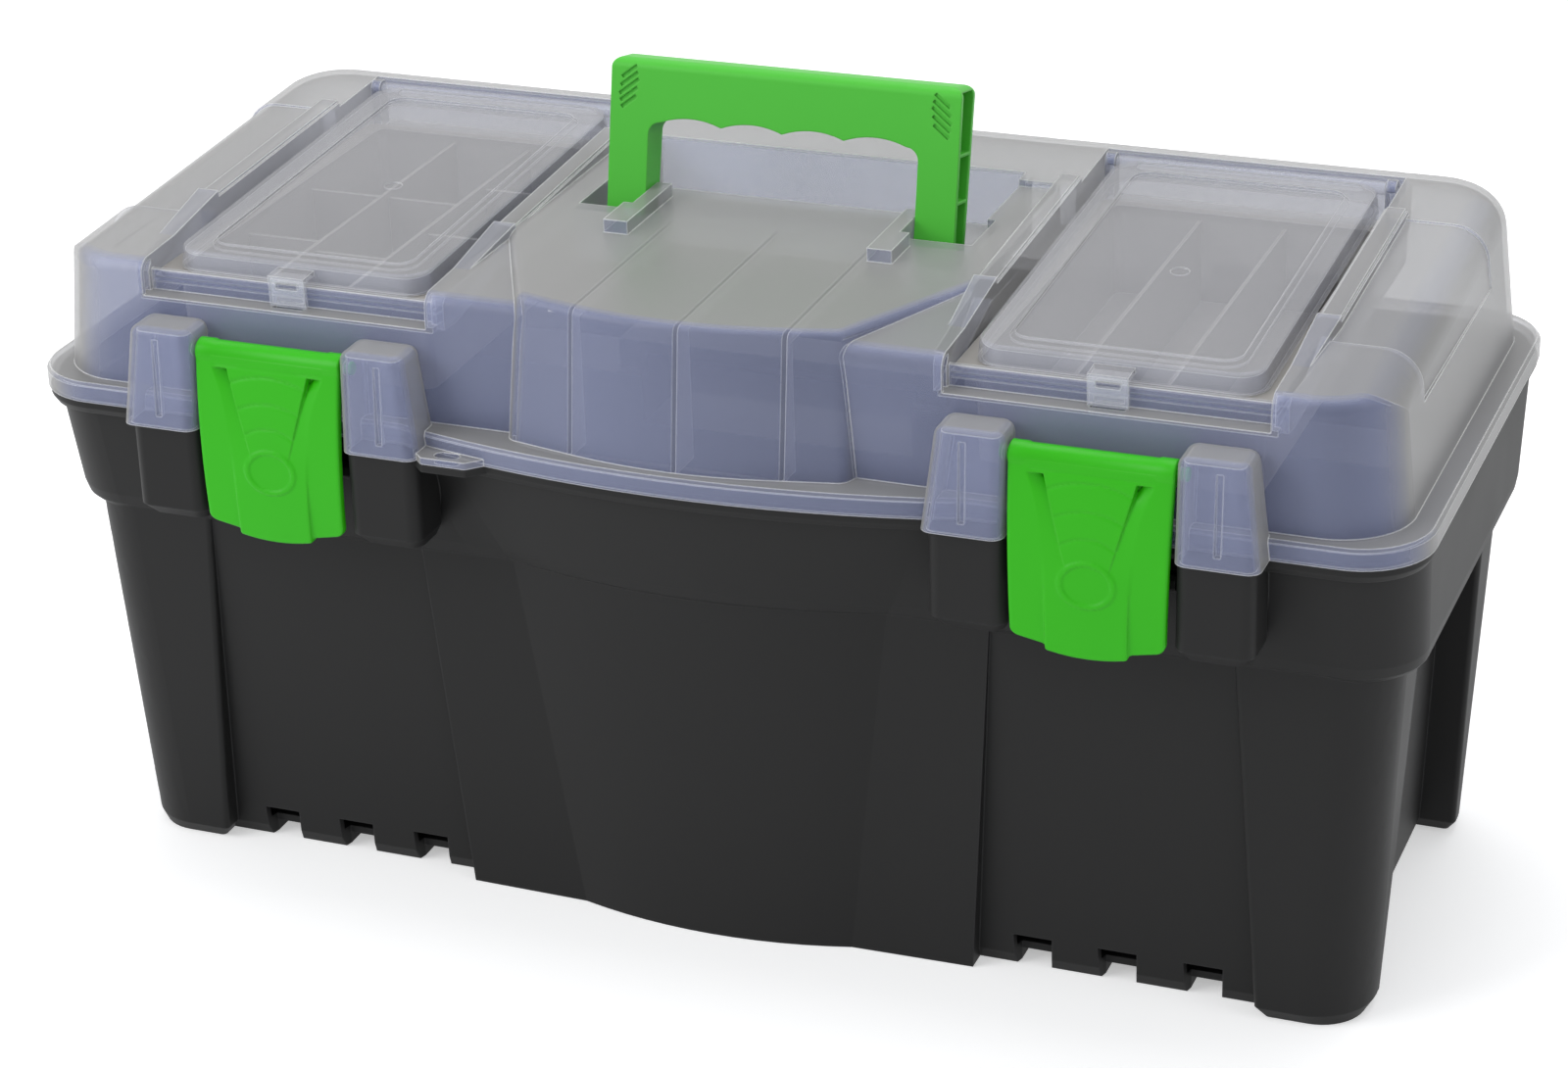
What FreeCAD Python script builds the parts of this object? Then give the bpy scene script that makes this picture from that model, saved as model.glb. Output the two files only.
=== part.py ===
import FreeCAD
import Part
import math
import os

from FreeCAD import Vector

# Toolbox with a black tub, a clear domed lid that holds two small-parts organizers,
# two front latches and a folding carry handle. Millimetres, +Z up, the front faces -Y.
# The origin is on the ground at the centre of the closed box.

# Overall sizes
flange_length = 550.0       # the lid's rim, end to end
flange_depth = 236.6        # the lid's rim, straight front to straight rear
bow_reach = 15.2            # how far the centre of the front bows out beyond its straight part
flange_corner = 28.0
tub_height = 199.7          # ground to the top of the tub's rim
closing_gap = 0.3           # tub rim to the lid's skirt
flange_height = 8.0         # the lid's skirt
tub_wall = 2.5
lid_wall = 2.0

# Tub
collar_height = 51.7        # of the wide collar round the tub's top
collar_overhang = 2.5       # the flange stands this far outside the top of the collar, at the ends
collar_front_overhang = 5.3
collar_draft = 1.0          # the collar's lower edge lies this far inside its top edge, at the ends
collar_front_draft = 10.5
collar_corner = 26.0
collar_round = 7.0          # bevel under the collar
bow_half_top = 96.0         # half the width of the bowed part of the rim
bow_half_low = 76.0         # the same at the collar's lower edge
bow_side_step = 4.5         # step from the straight front to the side of the bow, at the rim
bow_low = 10.5              # how far the bow reaches at the collar's lower edge
bow_base = 9.0              # and at the ground
bow_half_base = 56.0
rim_lip_height = 5.0        # lip on the tub's rim that stands up inside the lid's skirt
rim_lip_wall = 2.2
post_end_inset_low = 18.5   # the corner posts' ends lie this far inside the flange, at the ground
post_end_inset_top = 10.5
post_front_inset_low = 22.8 # the corner posts' fronts lie this far inside the flange, at the ground
post_front_inset_top = 16.3
post_width_low = 59.0       # a corner post reaches this far in from the flange's end, at the ground
post_width_top = 69.0
post_side_low = 66.0        # edge of a corner post on the end, at the ground
post_side_top = 55.0
post_corner = 24.0
post_edge = 2.0             # rounding of the posts' other edges
end_recess = 14.6           # the end walls lie this far inside the posts
panel_recess_low = 9.0      # the front panels lie this far behind the posts, at the ground
panel_recess_top = 1.5
centre_half_low = 105.0     # half width of the raised centre panel at the ground
centre_half_top = 115.0
centre_inset_low = 24.8     # the raised centre panel lies this far inside the flange, at the ground
centre_inset_top = 16.8
base_round = 5.0            # bevel round the foot of the tub
floor_wall = 3.0
foot_height = 5.0           # the feet between the floor grooves
notch_count = 3
notch_pitch = 33.5
notch_width = 20.0
notch_height = 14.0
notch_depth = 5.0
notch_taper = 4.0
latch_end_distance = 114.5  # from the flange's end to the middle of a latch, an organizer and a hinge
pad_height = 39.0           # blocks on the collar below the lid's ears
pad_back = 3.0              # their faces lie this far behind the ears' faces
pad_inset = 2.0             # their outer sides lie this far inside the ears
pad_sink = 6.0              # their roots reach into the collar's wall
pad_corner = 5.0
pad_bevel = 5.0             # slope at their lower edge
rim_bead_inset = 0.8        # bead round the tub's rim, inside the flange's edge
catch_height = 5.0
catch_drop = 12.0           # top of the catch bar below the tub's rim
catch_reach = 2.0           # the catch bar's face behind the straight flange

# Lid
dome_end_inset = 8.7        # the dome's ends lie this far inside the flange, just above it
dome_side_inset = 6.55
dome_offset = -0.6          # the dome's middle lies this far behind the flange's middle
dome_end_draft = 6.5        # how far its ends and its rear lean in, up to the roof
dome_rear_draft = 3.0
dome_front_draft = 1.0
dome_corner = 28.0
roof_front_height = 50.5    # the roof rises evenly from the front to the rear, above the flange
roof_rear_height = 61.0
front_roof_round = 6.0
rear_roof_round = 14.0      # the same round runs along the ends
band_front = -62.0          # shallow band that runs over each end of the roof
band_rear = 52.0
band_depth = 0.9
band_foot = 34.0            # it fades out this far above the flange
well_step = 52.0            # behind it the roof stands above the plateau
plateau_height = 55.5
plateau_half = 95.5
plateau_front = -48.5
bulge_half_front = 63.5
bulge_inset_top = 7.3       # the bulge's top lies this far inside the straight flange
bulge_bow_top = 9.0
bulge_reach_low = 0.7       # and its foot this far outside it
bulge_bow_low = 7.0
bulge_half_low = 66.0
bulge_round = 4.0
bulge_corner = 5.0
bulge_bow_radius = 180.0
bulge_rib_places = (-40.0, 3.0, 43.0)
bulge_rib = 1.6
ear_top = 31.5              # top of the latch ears above the flange
ear_slope = 3.0
ear_reach = 14.5            # the ears stand this far in front of the straight flange
ear_outer_half = 62.0       # latch centre to the outside of an ear
ear_taper = 5.0
ear_corner = 5.0
ear_round = 4.0
ear_rib = 2.4
window_half = 31.0          # half width of the gap between two ears
eye_width = 30.0            # padlock eye beside the left latch
eye_reach = 14.5
eye_thickness = 2.8
eye_root = 1.0              # the eye's root inside the flange
eye_slot_length = 10.0
eye_slot_width = 5.0
eye_web = 2.0               # in front of the slot
eye_centre = -87.0

# Organizers
pocket_half = 59.5          # half width between the ridges beside an organizer
pocket_front_inset = 14.3   # the pocket's front and rear lie this far inside the flange
pocket_rear_inset = 26.3
shelf_drop = 9.0            # organizer shelf below the front of the roof
shelf_width = 5.5
shelf_wall = 2.2
sill_drop = 13.5            # sill below the front of the roof
low_wall_height = 8.0
bin_wall = 1.6
bin_clearance = 0.5
bin_depth = 38.0
bin_rim = 1.6
rim_lap = 3.0               # rim beyond the organizer's rear wall
bin_rear_margin = 6.0
divider_wall = 1.4
divider_drop = 2.5          # dividers stop this far below the organizer's rim
divider_gap = 0.3
cross_places = ((0.30, 0.62), (0.24, 0.62), (0.42, 0.74))   # shares of each lane's length
ridge_wall = 5.0
ridge_lead = 2.0            # the ridges start this far in front of the pocket
ridge_tip_height = 11.0
ridge_height = 4.0          # the high part of a ridge, above the roof
ridge_rear_width = 9.0
low_ridge_height = 2.5
low_ridge_rear = 56.0

# Organizer covers
cover_half = 53.4
cover_front_gap = 5.0       # from the pocket's front to the cover
cover_rear_gap = 8.0        # from the cover to the pocket's rear
cover_height = 8.2
cover_tilt = 2.6            # degrees, rising to the rear
cover_corner = 11.0
cover_wall = 1.8
cover_border = 11.5
cover_inset = 1.2
cover_lift = 0.4            # cover edge above the organizer's rim
clip_width = 15.0
clip_wall = 2.0
clip_gap = 0.4
clip_nib = 0.8
cover_round = 1.6
cover_barrel = 2.6
cover_barrel_lap = 1.4      # the barrel sinks this far into the cover's rear wall
cover_peg = 1.5
peg_clearance = 0.06
lug_wall = 4.0
lug_gap = 0.5
lug_radius = 3.6

# Handle
handle_half = 71.0
handle_reach = 63.7         # pivot to the top of the grip
handle_leg = 16.0
handle_front = 4.5          # front face to pivot
handle_depth_low = 13.0
handle_depth_top = 16.0
grip_height = 21.5
handle_wall = 2.0
handle_lean = 11.2          # degrees back from upright, as it stands
handle_round = 4.0
grip_round = 5.0
scallop_count = 4
scallop_depth = 2.4
groove_count = 5
groove_length = 10.0
groove_shorten = 1.2
groove_width = 1.3
groove_depth = 0.8
groove_pitch = 2.9
groove_slant = 38.0
groove_centre = 63.5
groove_drop = 11.0
leg_ribs = (2.0, 20.0, 38.0)
rib_wall = 1.2
handle_pivot_y = -6.0
handle_pivot_drop = 8.5     # pivot below the plateau
handle_pin = 4.0
pin_length = 5.0
block_height = 5.3
block_front = -42.5
block_width = 9.8
block_step = 20.0
leg_slot_front = -15.2
leg_slot_half = 80.0
well_front = 11.0
well_rear = 60.0
well_half = 77.0
well_depth = 20.5
side_clearance = 0.7        # handle leg to the pivot blocks

# Latches
latch_width_top = 60.4
latch_width_low = 57.0
latch_pivot_drop = 8.9      # hinge line below the ears' top
latch_pivot_reach = 4.2     # hinge line in front of the straight flange
latch_barrel = 4.6
latch_pin = 2.6
latch_pin_length = 4.0
latch_wall = 3.0
latch_length = 72.5         # hinge line to the tip of the lobe
latch_skirt_short = 6.0     # the sides end this far above the lobe
latch_lobe_half = 16.0
latch_skirt_depth = 1.5
latch_bulge = 4.5           # the panel leans out this far below the barrel
latch_side_wall = 2.0
latch_hook_half = 20.0
hook_gap = 0.45
hook_height = 5.0

# Rear hinges
hinge_reach = 8.7           # hinge line behind the flange
hinge_rise = 4.3            # hinge line above the tub's rim
hinge_knuckle = 6.5
hinge_pin = 2.5
pin_clearance = 0.06
pin_seat = 0.02             # the pin is pressed into the tub's knuckles
pin_head = 4.2
pin_head_length = 1.8
hinge_lid_width = 22.0
hinge_tub_width = 13.0
hinge_gap = 0.4

# Lift-out tray
tray_clearance = 1.2
tray_height = 44.0
tray_wall = 2.0
tray_corner = 22.0
tray_spine = 34.0
tray_seat = 0.3
tray_bar = 5.0
tray_grip_height = 12.0
tray_grip_half = 62.0
tray_post = 12.0
tray_notch_depth = 20.0     # hand room below the carry bar

# Places worked out from the sizes above
half_length = flange_length / 2
latch_centre = half_length - latch_end_distance
half_depth = flange_depth / 2
front_y = -half_depth
collar_base = tub_height - collar_height
post_length_low = half_length - post_end_inset_low
post_length_top = half_length - post_end_inset_top
post_inner_low = half_length - post_width_low
post_inner_top = half_length - post_width_top
post_front_low = half_depth - post_front_inset_low
post_front_top = half_depth - post_front_inset_top
centre_front_low = half_depth - centre_inset_low
centre_front_top = half_depth - centre_inset_top
dome_length = flange_length - 2 * dome_end_inset
dome_depth = flange_depth - 2 * dome_side_inset
bulge_front_top = half_depth - bulge_inset_top
bulge_front_low = half_depth + bulge_reach_low
pocket_front = front_y + pocket_front_inset
pocket_rear = half_depth - pocket_rear_inset
ridge_front = pocket_front - ridge_lead
cover_front = pocket_front + cover_front_gap
cover_rear = pocket_rear - cover_rear_gap
latch_pivot_y = front_y - latch_pivot_reach
hinge_y = half_depth + hinge_reach
hinge_z = tub_height + hinge_rise
flange_base = tub_height + closing_gap
flange_top = flange_base + flange_height
dome_front = dome_offset - dome_depth / 2
dome_rear = dome_offset + dome_depth / 2
roof_front = flange_top + roof_front_height
roof_rear = flange_top + roof_rear_height
plateau = flange_top + plateau_height
shelf_z = roof_front - shelf_drop
sill_z = roof_front - sill_drop
rim_z = shelf_z + bin_rim
latch_pivot_z = flange_top + ear_top - latch_pivot_drop
handle_pivot_z = plateau - handle_pivot_drop
ear_front = front_y - ear_reach
pad_front = ear_front + pad_back
catch_front = front_y + catch_reach
bin_front = pocket_front + lid_wall + shelf_width
bin_rear = cover_rear - bin_rear_margin
sill_root = dome_offset - dome_depth / 2 + lid_wall / 2
clip_front = pocket_front - clip_gap - clip_nib - clip_wall
plateau_rear = well_rear + 6.0
far = 3 * flange_length


def box(x0, x1, y0, y1, z0, z1):
    return Part.makeBox(x1 - x0, y1 - y0, z1 - z0, Vector(x0, y0, z0))


def rod(radius, start, end):
    direction = end - start
    return Part.makeCylinder(radius, direction.Length, start, direction)


def outline(points, z):
    """Closed wire at height z through (x, y, radius) corners."""
    count = len(points)
    edges = []
    starts = []
    ends = []
    for i in range(count):
        x, y, radius = points[i]
        corner = Vector(x, y, z)
        before = Vector(points[i - 1][0], points[i - 1][1], z)
        after = Vector(points[(i + 1) % count][0], points[(i + 1) % count][1], z)
        u = (before - corner).normalize()
        v = (after - corner).normalize()
        if radius <= 0:
            starts.append(corner)
            ends.append(corner)
            edges.append(None)
            continue
        half_turn = u.getAngle(v) / 2
        reach = radius / math.tan(half_turn)
        middle = (u + v).normalize() * (radius / math.sin(half_turn) - radius)
        starts.append(corner + u * reach)
        ends.append(corner + v * reach)
        edges.append(Part.Arc(starts[i], corner + middle, ends[i]).toShape())
    wire = []
    for i in range(count):
        if edges[i]:
            wire.append(edges[i])
        following = starts[(i + 1) % count]
        if (following - ends[i]).Length > 1e-6:
            wire.append(Part.LineSegment(ends[i], following).toShape())
    return Part.Wire(wire)


def loft(wires):
    return Part.makeLoft(wires, True, True)


def rectangle(x0, x1, y0, y1, radius):
    return [(x0, y0, radius), (x1, y0, radius), (x1, y1, radius), (x0, y1, radius)]


def extrude_x(points, x0, x1):
    """Prism along X of a closed (y, z) outline."""
    face = Part.Face(Part.makePolygon([Vector(x0, y, z) for y, z in points + points[:1]]))
    return face.extrude(Vector(x1 - x0, 0, 0))


def extrude_y(wire, y0, y1):
    face = Part.Face(wire)
    face.translate(Vector(0, y0, 0))
    return face.extrude(Vector(0, y1 - y0, 0))


def mirrored(shape):
    return shape.mirror(Vector(0, 0, 0), Vector(1, 0, 0))


def both_sides(shape):
    return [shape, mirrored(shape)]


def all_corners(shape):
    pair = both_sides(shape)
    return pair + [item.mirror(Vector(0, 0, 0), Vector(0, 1, 0)) for item in pair]


def joined(shapes):
    return shapes[0].fuse(shapes[1:])


def save(name, shape):
    shape.exportStep("parts/" + name + ".step")


def bowed(half_x, front, rear, corner, bow_half, side_step, reach, z):
    """Rounded rectangle whose front bows out in the middle."""
    straight = bow_half + 16.0
    left = [Vector(-half_x, rear - corner, z), Vector(-half_x, front + corner, z)]
    slant = corner * (1 - math.sqrt(0.5))
    front_left = Part.Arc(left[1], Vector(-half_x + slant, front + slant, z),
                          Vector(-half_x + corner, front, z))
    front_right = Part.Arc(Vector(half_x - corner, front, z),
                           Vector(half_x - slant, front + slant, z),
                           Vector(half_x, front + corner, z))
    rear_right = Part.Arc(Vector(half_x, rear - corner, z),
                          Vector(half_x - slant, rear - slant, z),
                          Vector(half_x - corner, rear, z))
    rear_left = Part.Arc(Vector(-half_x + corner, rear, z),
                         Vector(-half_x + slant, rear - slant, z), left[0])
    bow = Part.Arc(Vector(-bow_half, front - side_step, z), Vector(0, front - reach, z),
                   Vector(bow_half, front - side_step, z))
    corners = [Vector(-half_x + corner, front, z), Vector(-straight, front, z),
               Vector(-bow_half, front - side_step, z)]
    corners_right = [Vector(bow_half, front - side_step, z), Vector(straight, front, z),
                     Vector(half_x - corner, front, z)]
    edges = [Part.LineSegment(left[0], left[1]), front_left,
             Part.LineSegment(corners[0], corners[1]), Part.LineSegment(corners[1], corners[2]),
             bow, Part.LineSegment(corners_right[0], corners_right[1]),
             Part.LineSegment(corners_right[1], corners_right[2]), front_right,
             Part.LineSegment(Vector(half_x, front + corner, z), Vector(half_x, rear - corner, z)),
             rear_right,
             Part.LineSegment(Vector(half_x - corner, rear, z), Vector(-half_x + corner, rear, z)),
             rear_left]
    return Part.Wire([edge.toShape() for edge in edges])


def flange_outline(inset, z):
    return bowed(half_length - inset, front_y + inset, half_depth - inset, flange_corner - inset,
                 bow_half_top, bow_side_step, bow_reach, z)


# Tub

def collar_form(inset, z_low, z_top):
    """Collar at the top of the tub, bevelled underneath, shrunk by inset."""
    def level(z, bevel):
        share = (z - collar_base) / (tub_height - collar_base)
        half_x = half_length - collar_overhang - collar_draft * (1 - share) - inset - bevel
        front = half_depth - collar_front_overhang - collar_front_draft * (1 - share) - inset - bevel
        half_bow = bow_half_low + (bow_half_top - bow_half_low) * share - bevel
        reach = bow_low + (bow_reach - bow_low) * share
        side_step = bow_side_step * share
        return bowed(half_x, -front, front, collar_corner - inset, half_bow, side_step, reach, z)
    round_top = z_low + collar_round
    return loft([level(z_low, collar_round * 0.3), level(z_low + collar_round * 0.35, collar_round * 0.08),
                 level(round_top, 0.0), level(z_top, 0.0)])


def tapered_block(low, top, z_top, inset, bevel):
    """Block between two outlines, bevelled at its foot; low and top map an inset to corners."""
    side = blend(low(inset), top(inset), base_round / z_top)
    return loft([outline(low(inset + bevel), 0.0), outline(side, base_round), outline(top(inset), z_top)])


def blend(low, top, share):
    return [tuple(a + (b - a) * share for a, b in zip(p, q)) for p, q in zip(low, top)]


def post_corners(half_x, front, inner_x, side_y):
    room = min(half_x - inner_x, front - side_y) - post_edge - 1.0
    radius = min(post_corner, room)

    def corners(inset):
        return [(inner_x + inset, -side_y - inset, 0), (inner_x + inset, -front + inset, post_edge),
                (half_x - inset, -front + inset, radius - 2 * inset),
                (half_x - inset, -side_y - inset, post_edge)]
    return corners


def core_corners(half_x, front):
    def corners(inset):
        return rectangle(-half_x + inset, half_x - inset, -front + inset, front - inset, 12.0 - inset)
    return corners


def centre_wire(half, front, half_bow, reach, inset, z):
    front_line = -front + inset
    back = front_line + 20.0
    bow = Part.Arc(Vector(-half_bow, front_line - 1.0, z), Vector(0, front_line - reach, z),
                   Vector(half_bow, front_line - 1.0, z))
    edges = [Part.LineSegment(Vector(-half + inset, back, z), Vector(-half + inset, front_line, z)),
             Part.LineSegment(Vector(-half + inset, front_line, z), Vector(-half_bow, front_line - 1.0, z)),
             bow,
             Part.LineSegment(Vector(half_bow, front_line - 1.0, z), Vector(half - inset, front_line, z)),
             Part.LineSegment(Vector(half - inset, front_line, z), Vector(half - inset, back, z)),
             Part.LineSegment(Vector(half - inset, back, z), Vector(-half + inset, back, z))]
    return Part.Wire([edge.toShape() for edge in edges])


def lower_form(inset):
    """Everything below the collar: walls, corner posts and the bowed centre panel."""
    top = collar_base + collar_round
    core_low = core_corners(post_length_low - end_recess, post_front_low - panel_recess_low)
    core_top = core_corners(post_length_top - end_recess, post_front_top - panel_recess_top)
    core = tapered_block(core_low, core_top, top, inset, base_round * 0.4)
    post_low = post_corners(post_length_low, post_front_low, post_inner_low, post_side_low)
    post_top = post_corners(post_length_top, post_front_top, post_inner_top, post_side_top)
    post = tapered_block(post_low, post_top, top, inset, base_round * 0.6)
    centre = loft([centre_wire(centre_half_low, centre_front_low, bow_half_base, bow_base, inset, 0.0),
                   centre_wire(centre_half_top, centre_front_top, bow_half_low, bow_low, inset, top)])
    rear = centre_wire(centre_half_low, centre_front_low, bow_half_base, 1.5, inset, 0.0)
    rear_top = centre_wire(centre_half_top, centre_front_top, bow_half_low, 1.5, inset, top)
    rear_panel = loft([rear, rear_top]).mirror(Vector(0, 0, 0), Vector(0, 1, 0))
    return joined([core] + all_corners(post) + [centre, rear_panel])


def notches():
    """Grooves between the feet, open to the front and rear, with a cove above each."""
    cuts = []
    for side in (-1, 1):
        for i in range(notch_count):
            x = side * latch_centre + (i - (notch_count - 1) / 2) * notch_pitch
            half = notch_width / 2
            narrow = half - notch_taper
            cuts.append(box(x - narrow, x + narrow, -post_front_top, post_front_top, 0, foot_height))
            for end in (-1, 1):
                face = end * (post_front_low - panel_recess_low)
                back = face - end * notch_depth
                outer = face + end * 2 * notch_depth
                low = [(x - half, outer, 0), (x + half, outer, 0),
                       (x + narrow, back, 0), (x - narrow, back, 0)]
                cuts.append(loft([outline(low, 0), outline(low, notch_height)]))
    return cuts


def pad_blocks(inset):
    """Blocks on the collar below the lid's ears, two for each latch."""
    blocks = []
    foot = tub_height - pad_height + inset
    back = front_y + 2 * pad_sink
    corner = pad_corner - inset
    for side in (-1, 1):
        for hand in (-1, 1):
            near = side * latch_centre + hand * window_half
            away = side * latch_centre + hand * (ear_outer_half - pad_inset)
            x0 = min(near, away) + inset
            x1 = max(near, away) - inset
            slope = pad_bevel / 2
            low = rectangle(x0 + slope, x1 - slope, pad_front + inset + pad_bevel, back, corner)
            full = rectangle(x0, x1, pad_front + inset, back, corner)
            blocks.append(loft([outline(low, foot), outline(full, foot + pad_bevel),
                                outline(full, tub_height)]))
    return blocks


def catch_bar(side):
    top = tub_height - catch_drop
    half = window_half - 3.0
    middle = side * latch_centre
    front = catch_front
    points = [(front_y + 2 * pad_sink, top), (front + 1.5, top), (front, top - 1.5),
              (front, top - catch_height), (front_y + 2 * pad_sink, top - catch_height - 6.0)]
    return extrude_x(points, middle - half, middle + half)


def eye_plate(z):
    """Padlock eye with its long slot, flat at height z."""
    x0 = eye_centre - eye_width / 2
    x1 = eye_centre + eye_width / 2
    tip = front_y - eye_reach
    chamfer = eye_width / 5
    corners = [(x0, front_y + eye_root, 0), (x0, tip + chamfer, 0), (x0 + chamfer, tip, 1.5),
               (x1 - chamfer, tip, 1.5), (x1, tip + chamfer, 0), (x1, front_y + eye_root, 0)]
    plate = Part.Face(outline(corners, z)).extrude(Vector(0, 0, eye_thickness))
    slot_y = tip + eye_web + eye_slot_width / 2
    half = eye_slot_length / 2
    slot = Part.Face(outline(rectangle(eye_centre - half, eye_centre + half, slot_y - eye_slot_width / 2,
                                       slot_y + eye_slot_width / 2, eye_slot_width / 2 - 0.05), z - 1))
    return plate, slot.extrude(Vector(0, 0, eye_thickness + 2))


def knuckle_span():
    """Half width of a whole hinge, over its two outer knuckles."""
    return hinge_lid_width / 2 + hinge_gap + hinge_tub_width


def tub_knuckles(side):
    parts = []
    for hand in (-1, 1):
        near = side * latch_centre + hand * (hinge_lid_width / 2 + hinge_gap)
        away = side * latch_centre + hand * knuckle_span()
        x0 = min(near, away)
        x1 = max(near, away)
        knuckle = rod(hinge_knuckle, Vector(x0, hinge_y, hinge_z), Vector(x1, hinge_y, hinge_z))
        root = half_depth - collar_front_overhang - tub_wall / 2
        drop = 18.0
        low = hinge_z - hinge_knuckle
        points = [(root - 3.0, tub_height - drop), (root, tub_height - 0.3), (hinge_y, tub_height - 0.3),
                  (hinge_y, hinge_z), (hinge_y + hinge_knuckle * 0.8, low + 2.6), (hinge_y - 1.0, low - 0.5)]
        parts.append(joined([knuckle, extrude_x(points, x0, x1)]))
    return parts


def hinge_bore(radius, side):
    reach = knuckle_span() + 1.0
    middle = side * latch_centre
    return rod(radius, Vector(middle - reach, hinge_y, hinge_z), Vector(middle + reach, hinge_y, hinge_z))


def make_tub():
    collar = collar_form(0, collar_base, tub_height)
    lip = collar_form(tub_wall - rim_lip_wall / 2, collar_base, tub_height + rim_lip_height)
    bead = loft([flange_outline(rim_bead_inset + 1.5, tub_height - 5.0),
                 flange_outline(rim_bead_inset, tub_height - 2.5),
                 flange_outline(rim_bead_inset, tub_height)])
    body = joined([lower_form(0), collar])
    rim = joined([lip, bead])
    outer = joined([body, rim] + pad_blocks(0))
    cavity = lower_form(tub_wall).common(box(-far, far, -far, far, foot_height + floor_wall, far))
    upper = collar_form(tub_wall + rim_lip_wall / 2, collar_base + tub_wall, tub_height + 2 * rim_lip_height)
    hollows = [block.common(box(-far, far, -far, front_y + 2 * pad_sink - 1, 0, tub_height - tub_wall))
               for block in pad_blocks(tub_wall)]
    tub = outer.cut([cavity, upper] + hollows + notches())
    plate, slot = eye_plate(tub_height - eye_thickness)
    added = [plate.cut(slot)]
    for side in (-1, 1):
        added.append(catch_bar(side))
        added += tub_knuckles(side)
    tub = joined([tub] + added)
    slot_cut = [hinge_bore(hinge_pin + pin_seat, side) for side in (-1, 1)] + [slot]
    return tub.cut(slot_cut)


def make_hinge_pins():
    near = latch_centre - knuckle_span()
    head_start = latch_centre + knuckle_span() + closing_gap
    pin = rod(hinge_pin, Vector(near, hinge_y, hinge_z), Vector(head_start, hinge_y, hinge_z))
    head = rod(pin_head, Vector(head_start, hinge_y, hinge_z),
               Vector(head_start + pin_head_length, hinge_y, hinge_z))
    return Part.makeCompound(both_sides(joined([pin, head])))


# Lid

def top_edges(shape, z, test):
    """Edges that lie flat at height z and pass the test on their middle point."""
    found = []
    for edge in shape.Edges:
        frame = edge.BoundBox
        if abs(frame.ZMin - z) < 0.01 and abs(frame.ZMax - z) < 0.01 and test(frame.Center):
            found.append(edge)
    return found


def roof_at(y):
    """Height of the sloping roof, y behind the middle."""
    return roof_front + (roof_rear - roof_front) * (y - dome_front) / dome_depth


def above_roof(drop):
    """Everything above the roof's slope, lowered by drop."""
    return extrude_x([(-far, roof_at(-far) - drop), (far, roof_at(far) - drop),
                      (far, 2 * far), (-far, 2 * far)], -far, far)


def dome_block(front, rear, half, drop, rounding):
    """Drafted box under the sloping roof, rounded round its top; half is half its length at the flange."""
    low = flange_top - lid_wall - 1.0
    high = flange_top + roof_rear_height + 2 * rear_roof_round
    rise = (high - low) / (roof_rear_height + lid_wall + 1.0)

    def corners(share):
        side = half - dome_end_draft * share
        return rectangle(-side, side, front + dome_front_draft * share, rear - dome_rear_draft * share,
                         dome_corner - drop)
    solid = loft([outline(corners(0), low), outline(corners(rise), high)]).cut(above_roof(drop))
    edges = [edge for edge in solid.Edges
             if all(abs(point.Point.z - roof_at(point.Point.y) + drop) < 0.01 for point in edge.Vertexes)]
    return solid.makeFillet(rounding - drop * 0.8, edges)


def end_bands():
    """What is cut from both ends of the roof for the shallow bands; they fade out down the ends."""
    low = flange_top + band_foot
    share = (band_foot + lid_wall + 1.0) / (roof_rear_height + lid_wall + 1.0)
    wall_low = dome_length / 2 - dome_end_draft * share
    wall_top = dome_length / 2 - dome_end_draft - band_depth
    points = [(-wall_low, low, 0), (wall_low, low, 0), (wall_top, roof_rear, rear_roof_round),
              (-wall_top, roof_rear, rear_roof_round)]
    wire = outline(points, 0)
    wire.rotate(Vector(0, 0, 0), Vector(1, 0, 0), 90)
    rise = roof_at(band_rear) - roof_at(band_front)
    wire.translate(Vector(0, band_front, roof_at(band_front) - roof_rear - band_depth))
    kept = Part.Face(wire).extrude(Vector(0, band_rear - band_front, rise))
    start = latch_centre + pocket_half + lid_wall
    band = box(start, far, band_front, band_rear, low, far)
    return [piece.cut(kept) for piece in both_sides(band)]


def plateau_form(inset):
    """Raised middle of the roof with the bulge that bows out at the front."""
    low = flange_top - lid_wall - 1.0
    top = plateau - inset

    def corners(half_front, front, bow):
        side = plateau_half - inset
        face = -front + inset
        return [(side, plateau_rear, 0), (-side, plateau_rear, 0), (-side, plateau_front, 0),
                (-half_front + inset, face, bulge_corner), (0, face - 2 * bow, bulge_bow_radius),
                (half_front - inset, face, bulge_corner), (side, plateau_front, 0)]
    solid = loft([outline(corners(bulge_half_low, bulge_front_low, bulge_bow_low), low),
                  outline(corners(bulge_half_front, bulge_front_top, bulge_bow_top), top)])
    edges = top_edges(solid, top, lambda middle: middle.y < plateau_front - 1.0)
    return solid.makeFillet(bulge_round - inset * 0.5, edges)


def lid_form(inset):
    half = dome_length / 2 - inset
    soft = dome_block(dome_front - 3 * dome_corner, dome_rear - inset, half, inset, rear_roof_round)
    crisp = dome_block(dome_front + inset, dome_rear + 3 * dome_corner, half + 0.05, inset, front_roof_round)
    dome = soft.common(crisp)
    middle = latch_centre - pocket_half - lid_wall + inset
    dome = dome.cut(box(-middle, middle, -far, well_step + inset, plateau - inset, far))
    return joined([dome, plateau_form(inset)])


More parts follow.
